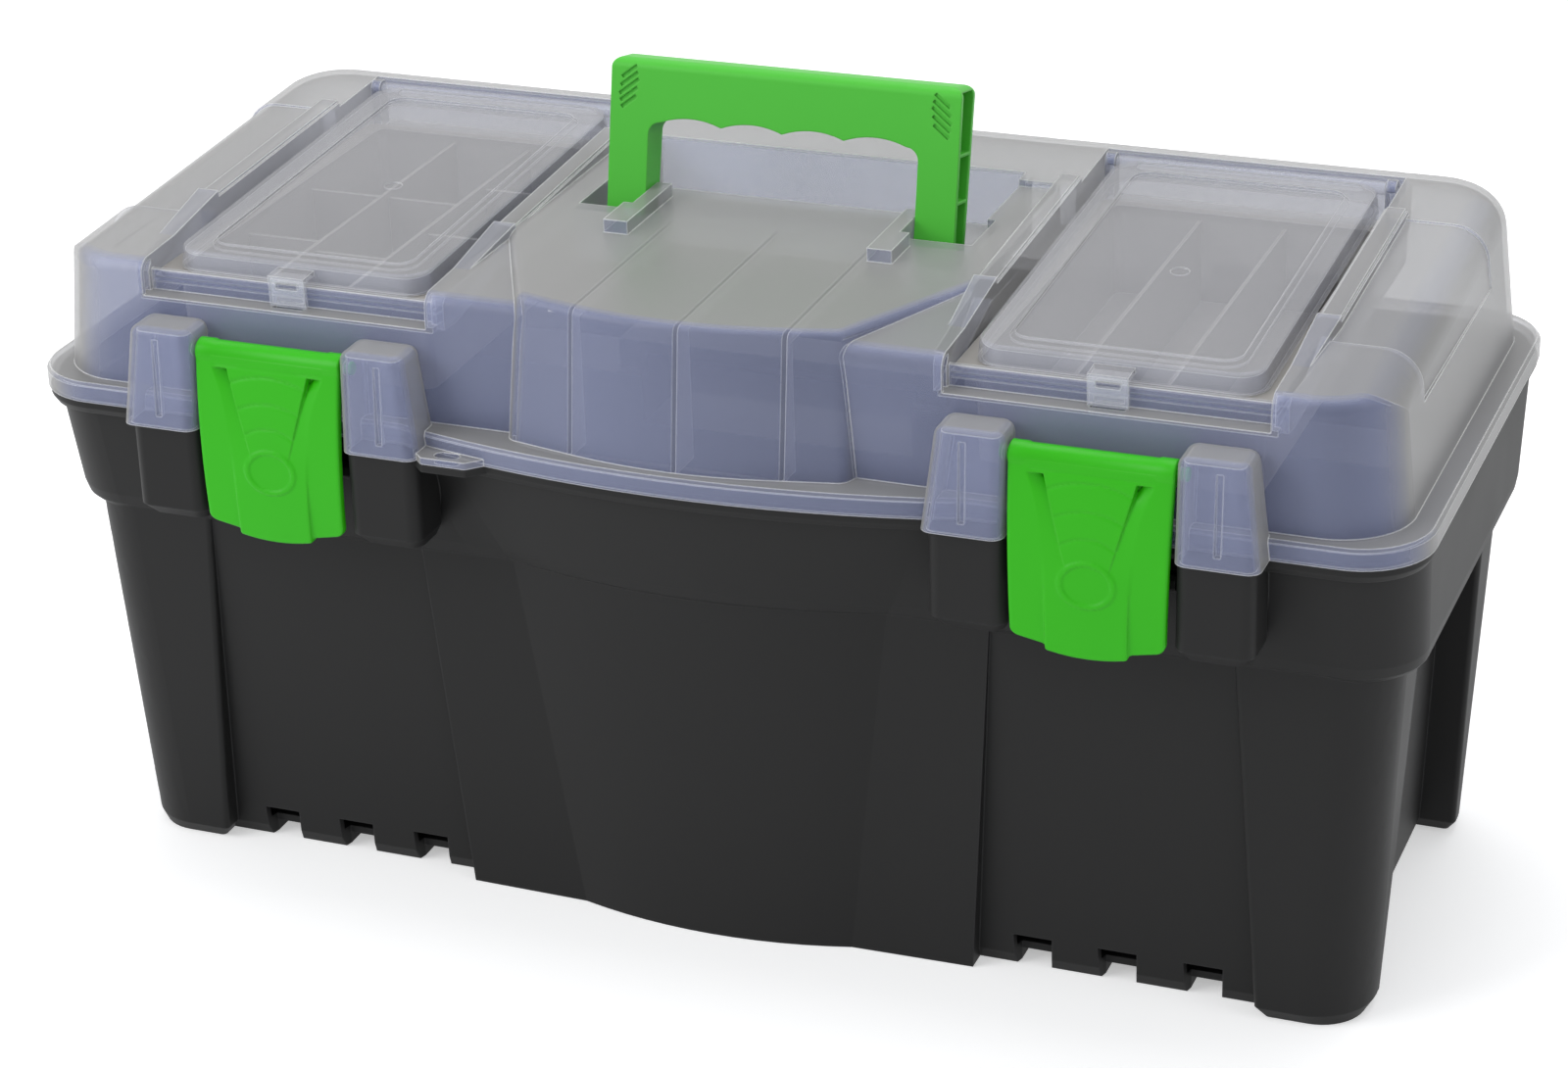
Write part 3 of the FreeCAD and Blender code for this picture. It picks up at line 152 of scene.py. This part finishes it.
# Tub. One injection moulding in dark charcoal polypropylene, with its collar, feet, pads and hinge
# knuckles in one piece. The mould gives it a fine eroded grain all over, and its arrises are painted a
# little lighter, a painted highlight along them. Its shape is the CAD node's own.
FLOAT = "NodeSocketFloat"
VECTOR = "NodeSocketVector"


def node_group(name, inputs, outputs):
    """A shader node group with named sockets: inputs are (name, kind, value), outputs (name, kind)."""
    group = bpy.data.node_groups.new(name, "ShaderNodeTree")
    for label, kind, value in inputs:
        socket = group.interface.new_socket(label, in_out="INPUT", socket_type=kind)
        socket.default_value = value
    for label, kind in outputs:
        group.interface.new_socket(label, in_out="OUTPUT", socket_type=kind)
    return group, group.nodes.new("NodeGroupInput"), group.nodes.new("NodeGroupOutput")


# The rounded arris of a moulding: a normal that rolls over it, and a mask that is 1 there. The mask
# starts where the rolled normal leaves the plain one a little, and is full at about 30 degrees.
edge_starts = 0.995
edge_full = 0.86
edge_group, given, out = node_group("moulded_edge", [("Radius", FLOAT, 0.001)],
                                    [("Normal", VECTOR), ("Edge", FLOAT)])
rounded = add_node(edge_group, "ShaderNodeBevel", samples=4)
edge_group.links.new(given.outputs["Radius"], rounded.inputs["Radius"])
plain = edge_group.nodes.new("ShaderNodeNewGeometry")
alike = add_node(edge_group, "ShaderNodeVectorMath", operation="DOT_PRODUCT")
edge_group.links.new(rounded.outputs["Normal"], alike.inputs[0])
edge_group.links.new(plain.outputs["Normal"], alike.inputs[1])
mask = add_node(edge_group, "ShaderNodeMapRange")
mask.inputs["From Min"].default_value = edge_starts
mask.inputs["From Max"].default_value = edge_full
edge_group.links.new(alike.outputs["Value"], mask.inputs["Value"])
edge_group.links.new(rounded.outputs["Normal"], out.inputs["Normal"])
edge_group.links.new(mask.outputs["Result"], out.inputs["Edge"])

# The skin of a moulding: the fine pits of an eroded mould, and a slow drift in shade and gloss.
skin = (("Grain Size", 0.0006, 2.0, "Grain"), ("Drift Size", 0.08, 4.0, "Drift"))
grain_group, given, out = node_group("mould_grain", [(label, FLOAT, size) for label, size, _, _ in skin],
                                     [(result, FLOAT) for _, _, _, result in skin])
where = grain_group.nodes.new("ShaderNodeTexCoord")
for label, _, detail, result in skin:
    scale = add_node(grain_group, "ShaderNodeMath", operation="DIVIDE")
    scale.inputs[0].default_value = 1.0
    noise = add_node(grain_group, "ShaderNodeTexNoise", detail=detail)
    grain_group.links.new(given.outputs[label], scale.inputs[1])
    grain_group.links.new(where.outputs["Object"], noise.inputs["Vector"])
    grain_group.links.new(scale.outputs[0], noise.inputs["Scale"])
    grain_group.links.new(noise.outputs["Fac"], out.inputs[result])


def moulded(name, colour, drift_and_slant_light_colour, arris_highlight_colour, roughness, specular=0.5, edge_radius=0.0009,
            arris_highlight_strength=0.5, grain_size=0.0006, grain_depth=0.00002, drift_size=0.08, gloss_drift=0.08):
    """Plastic from the mould: body colour with a slow drift, arrises painted lighter as a painted highlight,
    and grain.
    """
    material, tree, shader = new_material(name)
    shader.inputs["Specular IOR Level"].default_value = specular
    edge = add_node(tree, "ShaderNodeGroup", name="edge", node_tree=edge_group)
    edge.inputs["Radius"].default_value = edge_radius
    grain = add_node(tree, "ShaderNodeGroup", node_tree=grain_group)
    grain.inputs["Grain Size"].default_value = grain_size
    grain.inputs["Drift Size"].default_value = drift_size
    body = add_node(tree, "ShaderNodeMix", name="body", data_type="RGBA")
    body.inputs["A"].default_value = opaque(colour)
    body.inputs["B"].default_value = opaque(drift_and_slant_light_colour)
    tree.links.new(grain.outputs["Drift"], body.inputs["Factor"])
    # Painted highlight: the arrises are painted towards the lighter arris colour, standing in for light
    # caught along them.
    arris_highlight = add_node(tree, "ShaderNodeMix", data_type="RGBA")
    arris_highlight.inputs["B"].default_value = opaque(arris_highlight_colour)
    amount = add_node(tree, "ShaderNodeMath", operation="MULTIPLY")
    amount.inputs[1].default_value = arris_highlight_strength
    tree.links.new(edge.outputs["Edge"], amount.inputs[0])
    tree.links.new(amount.outputs[0], arris_highlight.inputs["Factor"])
    tree.links.new(body.outputs["Result"], arris_highlight.inputs["A"])
    tree.links.new(arris_highlight.outputs["Result"], shader.inputs["Base Color"])
    gloss = add_node(tree, "ShaderNodeMapRange")
    gloss.inputs["To Min"].default_value = roughness - gloss_drift
    gloss.inputs["To Max"].default_value = roughness + gloss_drift
    tree.links.new(grain.outputs["Drift"], gloss.inputs["Value"])
    tree.links.new(gloss.outputs["Result"], shader.inputs["Roughness"])
    pits = add_node(tree, "ShaderNodeBump")
    pits.inputs["Distance"].default_value = grain_depth
    tree.links.new(grain.outputs["Grain"], pits.inputs["Height"])
    tree.links.new(edge.outputs["Normal"], pits.inputs["Normal"])
    tree.links.new(pits.outputs["Normal"], shader.inputs["Normal"])
    return material


def dress(plastic, slot, *names):
    """Puts a plastic on CAD nodes. The slot argument is not used."""
    for name in names:
        for place in nodes[name].material_slots:
            place.material = plastic


# The lighter arris colour is a painted highlight.
tub_plastic = moulded("charcoal_plastic", colour=(0.011, 0.011, 0.011), drift_and_slant_light_colour=(0.016, 0.016, 0.016),
                      arris_highlight_colour=(0.06, 0.06, 0.062), roughness=0.52, specular=0.2)
dress(tub_plastic, "tub_plastic", "tub")

# Lift-out tray and hinge pins. The tray is moulded in black with its carry bar and drops onto the step
# inside the tub's collar; the two pins are short black rods pushed through the knuckles behind.
# The lighter arris colour is a painted highlight.
black_plastic = moulded("black_plastic", colour=(0.018, 0.018, 0.019), drift_and_slant_light_colour=(0.026, 0.026, 0.027),
                        arris_highlight_colour=(0.06, 0.06, 0.065), roughness=0.48)
dress(black_plastic, "black_plastic", "tray", "hinge_pins")

# Lid. One moulding in frosted clear polypropylene, which swings on the two pins behind. It is hazy and
# bluish where it is seen square on; its greyer colour at a slant is painted light, and its near white at
# arrises and ribs is a painted highlight. Its haze lets the dark tub and the tray show through.


def clear_moulded(name, colour, slant_light_colour, roughness, thin, slanted, edge_density, edge_radius):
    """Clear plastic: thin and slanted are how dense it looks seen square on and at a slant."""
    slant_starts = 0.2
    slant_full = 0.62
    # The arrises are painted white, a painted highlight.
    plastic = moulded(name, colour, drift_and_slant_light_colour=slant_light_colour, arris_highlight_colour=WHITE, roughness=roughness,
                      edge_radius=edge_radius, arris_highlight_strength=1.0, gloss_drift=0.03)
    tree = plastic.node_tree
    edge = tree.nodes["edge"]
    slant = add_node(tree, "ShaderNodeLayerWeight")
    slant.inputs["Blend"].default_value = 0.5
    # Painted light: the colour turns from the square-on colour to the slant colour as the face turns away
    # from the camera, standing in for light that the frost lets through from behind.
    slant_light_mix = add_node(tree, "ShaderNodeMapRange")
    slant_light_mix.inputs["From Min"].default_value = slant_starts
    slant_light_mix.inputs["From Max"].default_value = slant_full
    tree.links.new(slant.outputs["Facing"], slant_light_mix.inputs["Value"])
    tree.links.new(slant_light_mix.outputs["Result"], tree.nodes["body"].inputs["Factor"])
    haze = add_node(tree, "ShaderNodeMapRange")
    haze.inputs["To Min"].default_value = thin
    haze.inputs["To Max"].default_value = slanted
    tree.links.new(slant.outputs["Facing"], haze.inputs["Value"])
    density = add_node(tree, "ShaderNodeMapRange")
    density.inputs["To Max"].default_value = edge_density
    tree.links.new(haze.outputs["Result"], density.inputs["To Min"])
    tree.links.new(edge.outputs["Edge"], density.inputs["Value"])
    tree.links.new(density.outputs["Result"], tree.nodes["Principled BSDF"].inputs["Alpha"])
    return plastic


frosted_lid = clear_moulded("frosted_lid", colour=(0.38, 0.42, 0.63), slant_light_colour=(0.375, 0.372, 0.365),
                            roughness=0.34, thin=0.25, slanted=0.72, edge_density=0.95, edge_radius=0.0008)
dress(frosted_lid, "lid_plastic", "lid_shell")

# Organizer covers. Thin clear polypropylene without the frost, so that the dividers show through; each
# hangs on two pegs behind its pocket and snaps over the sill in front.
clear_cover = clear_moulded("clear_cover", colour=(0.78, 0.80, 0.90), slant_light_colour=(0.46, 0.46, 0.48),
                            roughness=0.14, thin=0.26, slanted=0.42, edge_density=0.95, edge_radius=0.0004)
dress(clear_cover, "cover_plastic", "organizer_cover_left", "organizer_cover_right")

# Organizer bins and their dividers. Moulded in clear polypropylene that is a little milky; the bins drop
# into the lid's pockets, and the dividers stand along and across them in lanes of different lengths.
milky_bin = clear_moulded("clear_bin", colour=(0.38, 0.37, 0.36), slant_light_colour=(0.42, 0.40, 0.37),
                          roughness=0.3, thin=0.7, slanted=0.85, edge_density=1.0, edge_radius=0.0003)
bin_pieces = [name for name in nodes if name.startswith(("organizer_bin", "long_divider", "cross_divider"))]
dress(milky_bin, "bin_plastic", *bin_pieces)

# Handle. One green moulding, hollow from its outer sides and ribbed inside, with finger waves under its
# grip and five slanted grooves at each top corner. Its pins snap into the blocks on the lid's plateau.
# The lighter arris colour is a painted highlight.
handle_green = moulded("handle_green", colour=(0.075, 0.50, 0.042), drift_and_slant_light_colour=(0.085, 0.54, 0.048),
                       arris_highlight_colour=(0.16, 0.66, 0.10), roughness=0.42, specular=0.25)
dress(handle_green, "green_plastic", "handle")

# Latches. Green polypropylene catches, each one moulding: a barrel with thicker ends and two pins that
# snap into the lid's ears, a bowed panel with a tongue raised between two V grooves, and a hook behind
# that snaps under a bar on the tub. Sizes in millimetres, down from the hinge line and out from the middle.
MM = 0.001
LATCH_FROM_MIDDLE = 160.5
LATCH_HINGE_Y = -122.5
LATCH_HINGE_Z = 230.6
TOP_HALF = 30.2
LOW_HALF = 28.5
SIDE_LENGTH = 66.5
LATCH_LENGTH = 72.5
LATCH_WALL = 3.0
BARREL = 4.6
BARREL_END = 5.0
PIN = 2.6
OVAL_CENTRE = 43.4


def ramp(low, high, value):
    """0 before low and 1 after high, with a smooth turn at both."""
    share = min(1.0, max(0.0, (value - low) / (high - low)))
    return share * share * (3 - 2 * share)


def ditch(distance, width):
    """1 at the middle of a soft ditch or ridge, falling away to nothing beside it."""
    return math.exp(-(distance / width) ** 2)


def latch_edge(down):
    """Half width of the panel, which narrows towards its foot."""
    return TOP_HALF - (TOP_HALF - LOW_HALF) * min(1.0, down / SIDE_LENGTH)


def outer_groove(down):
    """Outer side of a V groove: nearly straight, and flared out at the top."""
    low_half = 15.4
    flare = 10.8
    flare_length = 14.5
    return low_half + flare * math.exp(-down / flare_length)


def inner_groove(down):
    """Inner side of a V groove: it slants in until the tongue is at its narrowest."""
    top_half = 18.5
    slant = 0.274
    narrowest = 8.0
    return max(top_half - slant * down, narrowest)


def latch_foot(x):
    """How far down the panel reaches at x: the tongue's lobe, the sides' foot and round corners."""
    lobe_half = 15.0
    lobe_rise = 1.7
    lobe_ends = (14.6, 15.9)
    side_rise = 2.6
    side_width = 13.0
    corner = 3.0
    x = abs(x)
    lobe = LATCH_LENGTH - lobe_rise * (x / lobe_half) ** 2
    side = SIDE_LENGTH + side_rise * (LOW_HALF - x) / side_width
    foot = lobe + (side - lobe) * ramp(*lobe_ends, x)
    past = x - (latch_edge(SIDE_LENGTH) - corner)
    if past > 0:
        foot -= corner - math.sqrt(max(0.0, corner * corner - past * past))
    return foot


def groove_depth(x, down):
    """A V groove is deepest along its inner side and at its head, and runs out at its foot."""
    head = 4.2
    head_wall = 0.7
    foot = 42.0
    even_fall = 1.5
    even_length = 38.0
    head_fall = 2.2
    head_middle = 4.5
    head_length = 5.0
    outer = outer_groove(down)
    inner = inner_groove(down)
    if not (head < down < foot and inner <= x <= outer):
        return 0.0
    across = (outer - x) / max(0.5, outer - inner)
    fall = even_fall * (foot - down) / even_length + head_fall * ditch(down - head_middle, head_length)
    return fall * across * ramp(head, head + head_wall, down)


def latch_relief(x, down, foot):
    """Height of the panel's face above its plain bow."""
    tongue_rise = 1.3
    tongue_starts = 28.0
    tongue_side = 0.7
    seam_depth = 0.3
    seam_down = 3.2
    seam_width = 0.6
    seam_ends = (23.5, 22.0)
    arc_radii = (37.3, 26.9, 17.1)
    arc_depth = 0.45
    arc_width = 0.45
    arcs_end = OVAL_CENTRE - 9.0
    oval_half = 9.8
    oval_height = 8.1
    oval_rise = 0.55
    oval_line = (0.08, 0.14)
    rim_width = 1.1
    rim_fall = 0.9
    x = abs(x)
    outer = outer_groove(down)
    rise = -groove_depth(x, down)
    if x < outer:
        rise += tongue_rise * ramp(tongue_starts, LATCH_LENGTH, down) * ramp(0.0, tongue_side, outer - x)
    rise -= seam_depth * ditch(down - seam_down, seam_width) * ramp(*seam_ends, x)
    from_oval = math.hypot(x, down - OVAL_CENTRE)
    if x < inner_groove(down) and down < arcs_end:
        for radius in arc_radii:
            rise -= arc_depth * ditch(from_oval - radius, arc_width)
    oval = math.hypot(x / oval_half, (down - OVAL_CENTRE) / oval_height)
    rise += oval_rise * (1 - ramp(*oval_line, abs(oval - 1.0)))
    rim = min(latch_edge(down) - x, foot - down)
    if rim < rim_width:
        rise -= rim_fall * (1 - math.sqrt(max(0.0, 1 - (1 - max(rim, 0.0) / rim_width) ** 2)))
    return rise


def latch_bow(down):
    """How far the panel's face stands in front of the hinge line."""
    lean = 0.1753
    bend = 0.001857
    return BARREL + lean * down - bend * down * down


def latch_columns(down):
    """Where the mesh columns lie across the panel: they follow both sides of the groove and the edge."""
    gap = 0.02
    rounding = 1.2
    tongue_steps = 34
    side_steps = 14
    rim_steps = 6
    inner = inner_groove(down)
    outer = outer_groove(down)
    edge = latch_edge(down)
    stretches = ((0.0, inner, tongue_steps), (inner + gap, outer - gap, side_steps),
                 (outer + gap, edge - rounding, side_steps))
    half = [low + (high - low) * i / count for low, high, count in stretches for i in range(count)]
    half += [edge - rounding + rounding * math.sin(math.pi / 2 * i / rim_steps) for i in range(rim_steps + 1)]
    return [-x for x in reversed(half[1:])] + half


def latch_panel(mesh):
    """The bowed panel: a face with its relief, a plain back, and walls round the edge."""
    rows = 150
    closer_at_foot = 1.15
    width = len(latch_columns(0.0))
    face = []
    back = []
    for row in range(rows + 1):
        share = 1 - (1 - row / rows) ** closer_at_foot
        for column in range(width):
            x = latch_columns(share * SIDE_LENGTH)[column]
            # the foot depends on x and the columns on how far down they are, so both settle in two rounds
            for _ in range(2):
                foot = latch_foot(x)
                down = share * foot
                x = latch_columns(down)[column]
            y = latch_bow(down) + latch_relief(x, down, foot)
            face.append(mesh.verts.new((x * MM, -y * MM, -down * MM)))
            back.append(mesh.verts.new((x * MM, (LATCH_WALL - latch_bow(down)) * MM, -down * MM)))
    for row in range(rows):
        for column in range(width - 1):
            i = row * width + column
            mesh.faces.new((face[i], face[i + width], face[i + width + 1], face[i + 1]))
            mesh.faces.new((back[i], back[i + 1], back[i + width + 1], back[i + width]))
    for row in range(rows):
        for i, facing in ((row * width, 1), (row * width + width - 1, -1)):
            wall = (face[i], back[i], back[i + width], face[i + width])
            mesh.faces.new(wall[::facing])
    for column in range(width - 1):
        for i, facing in ((column, -1), (rows * width + column, 1)):
            wall = (face[i], back[i], back[i + 1], face[i + 1])
            mesh.faces.new(wall[::facing])


def latch_barrel(mesh):
    """The hinge barrel turned about the hinge line, with its thicker ends and both pins."""
    around = 40
    pin_reach = 4.0
    pin_chamfer = 0.4
    end_chamfer = 0.5
    end_inside = 24.0
    neck = 1.0
    half = [(-TOP_HALF - pin_reach, PIN - pin_chamfer), (-TOP_HALF - pin_reach + pin_chamfer, PIN),
            (-TOP_HALF, PIN), (-TOP_HALF, BARREL_END - end_chamfer), (-TOP_HALF + end_chamfer, BARREL_END),
            (-end_inside, BARREL_END), (-end_inside + neck, BARREL)]
    profile = half + [(-x, radius) for x, radius in reversed(half)]
    turns = [2 * math.pi * i / around for i in range(around)]
    rings = [[mesh.verts.new((x * MM, -radius * MM * math.cos(turn), radius * MM * math.sin(turn)))
              for turn in turns] for x, radius in profile]
    for left, right in zip(rings, rings[1:]):
        for i in range(around):
            mesh.faces.new((left[i], left[i - 1], right[i - 1], right[i]))
    mesh.faces.new(rings[0])
    mesh.faces.new(rings[-1][::-1])


def latch_hook(mesh):
    """The bevelled hook behind the panel, which catches under the tub's bar."""
    half = 20.0
    top = -48.35
    lip = top - 2.0
    foot = top - 5.0
    front = -7.1
    slope_ends = 2.75
    rear = 5.75
    bevel = 0.4
    outline = [(rear, top), (rear, lip), (slope_ends, foot), (front, foot), (front, top)]
    ends = [[mesh.verts.new((x * MM, y * MM, z * MM)) for y, z in outline] for x in (-half, half)]
    faces = [mesh.faces.new(ends[0]), mesh.faces.new(ends[1][::-1])]
    for i in range(len(outline)):
        faces.append(mesh.faces.new((ends[0][i], ends[1][i], ends[1][i - 1], ends[0][i - 1])))
    bmesh.ops.recalc_face_normals(mesh, faces=faces)
    edges = list({edge for face in faces for edge in face.edges})
    bmesh.ops.bevel(mesh, geom=edges, offset=bevel * MM, segments=2, affect="EDGES")


def latch_mesh():
    """The whole moulding, with soft faces and arrises that stay sharp."""
    sharp_from = math.radians(32)
    mesh = bmesh.new()
    latch_panel(mesh)
    latch_barrel(mesh)
    latch_hook(mesh)
    data = bpy.data.meshes.new("latch")
    mesh.normal_update()
    mesh.to_mesh(data)
    mesh.free()
    for polygon in data.polygons:
        polygon.use_smooth = True
    data.set_sharp_from_angle(angle=sharp_from)
    return data


# The lighter arris colour is a painted highlight.
latch_green = moulded("green_plastic", colour=(0.026, 0.42, 0.002), drift_and_slant_light_colour=(0.034, 0.48, 0.004),
                      arris_highlight_colour=(0.08, 0.62, 0.03), roughness=0.40, specular=0.25)
latch_data = latch_mesh()
latch_data.materials.append(latch_green)
for side, name in ((-1, "left"), (1, "right")):
    latch = bpy.data.objects.new("latch_" + name + "_moulding", latch_data)
    latch.location = (side * LATCH_FROM_MIDDLE * MM, LATCH_HINGE_Y * MM, LATCH_HINGE_Z * MM)
    scene.collection.objects.link(latch)
    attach(latch, "latch_" + name)
    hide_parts("latch_" + name)
